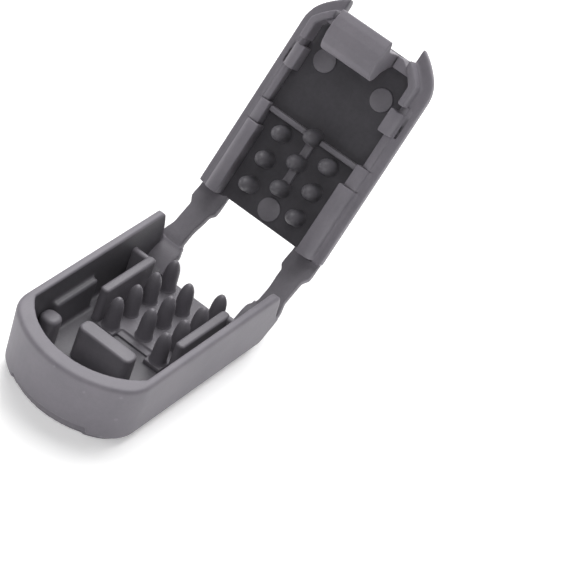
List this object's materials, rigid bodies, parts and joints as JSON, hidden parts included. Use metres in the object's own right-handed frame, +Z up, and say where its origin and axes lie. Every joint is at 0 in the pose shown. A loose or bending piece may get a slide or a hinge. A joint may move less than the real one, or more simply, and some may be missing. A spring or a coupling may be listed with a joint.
{
  "type": "cord lock",
  "caption": "Open clip-on cord lock: ribbed tub base and shallow lid joined by two flexible straps, toothed inside, with a hooked snap latch at the round end.",
  "frame": {"origin": "middle of the flat ribbed face under the base, which the open cord lock rests on", "axes": "+X from the base's round end towards the hinge straps and the lid, +Z up out of the base's tub, Y across the width"},
  "size_m": [0.0434, 0.015, 0.0286],
  "materials": {
    "grey_moulding": "fine matte moulded surface, slightly brighter on worn edges"
  },
  "bodies": {
    "base": {"base_shell": "grey_moulding", "base_tooth_01": "grey_moulding", "base_tooth_02": "grey_moulding", "base_tooth_03": "grey_moulding", "base_tooth_04": "grey_moulding", "base_tooth_05": "grey_moulding", "base_tooth_06": "grey_moulding", "base_tooth_07": "grey_moulding", "base_tooth_08": "grey_moulding", "base_tooth_09": "grey_moulding", "base_tooth_10": "grey_moulding", "base_tooth_11": "grey_moulding", "cord_rail_left": "grey_moulding", "cord_rail_right": "grey_moulding", "corner_peg_left": "grey_moulding", "corner_peg_right": "grey_moulding", "grip_dome": "grey_moulding", "latch_backstop": "grey_moulding", "latch_catch": "grey_moulding", "rail_return_left": "grey_moulding", "rail_return_right": "grey_moulding", "side_ledge_left": "grey_moulding", "side_ledge_right": "grey_moulding", "strap_root_left": "grey_moulding", "strap_root_right": "grey_moulding", "tooth_platform": "grey_moulding"},
    "straps": {"strap_left": "grey_moulding", "strap_right": "grey_moulding"},
    "lid": {"centre_rib_1": "grey_moulding", "centre_rib_2": "grey_moulding", "cross_wall_left": "grey_moulding", "cross_wall_right": "grey_moulding", "end_lip_left": "grey_moulding", "end_lip_right": "grey_moulding", "end_wall_left": "grey_moulding", "end_wall_right": "grey_moulding", "key_block_left": "grey_moulding", "key_block_right": "grey_moulding", "lid_strap_root_left": "grey_moulding", "lid_strap_root_right": "grey_moulding", "lid_tooth_01": "grey_moulding", "lid_tooth_02": "grey_moulding", "lid_tooth_03": "grey_moulding", "lid_tooth_04": "grey_moulding", "lid_tooth_05": "grey_moulding", "lid_tooth_06": "grey_moulding", "lid_tooth_07": "grey_moulding", "lid_tooth_08": "grey_moulding", "lid_tooth_09": "grey_moulding", "lid_tray": "grey_moulding", "long_lip_left": "grey_moulding", "long_lip_right": "grey_moulding", "low_lip_left": "grey_moulding", "low_lip_right": "grey_moulding", "short_lip_left": "grey_moulding", "short_lip_right": "grey_moulding"},
    "latch": {"latch_tongue": "grey_moulding"}
  },
  "joints": [
    {"name": "strap_fold_base", "type": "hinge", "parent": "base", "child": "straps", "pos_m": [0.011, 0, 0.0037], "axis": [0, -1, 0], "range_deg": [-29.1, 60.9], "stiffness_Nm_per_rad": 0.006},
    {"name": "strap_fold_lid", "type": "hinge", "parent": "straps", "child": "lid", "pos_m": [0.01423, 0, 0.00606], "axis": [0, -1, 0], "range_deg": [-29.1, 60.9], "stiffness_Nm_per_rad": 0.006},
    {"name": "latch_flex", "type": "hinge", "parent": "lid", "child": "latch", "pos_m": [0.02536, 0, 0.02508], "axis": [0, -1, 0], "range_deg": [0, 10], "stiffness_Nm_per_rad": 0.02}
  ],
  "couplings": [
    {"joint": "strap_fold_lid", "follows": "strap_fold_base", "ratio": 1}
  ]
}
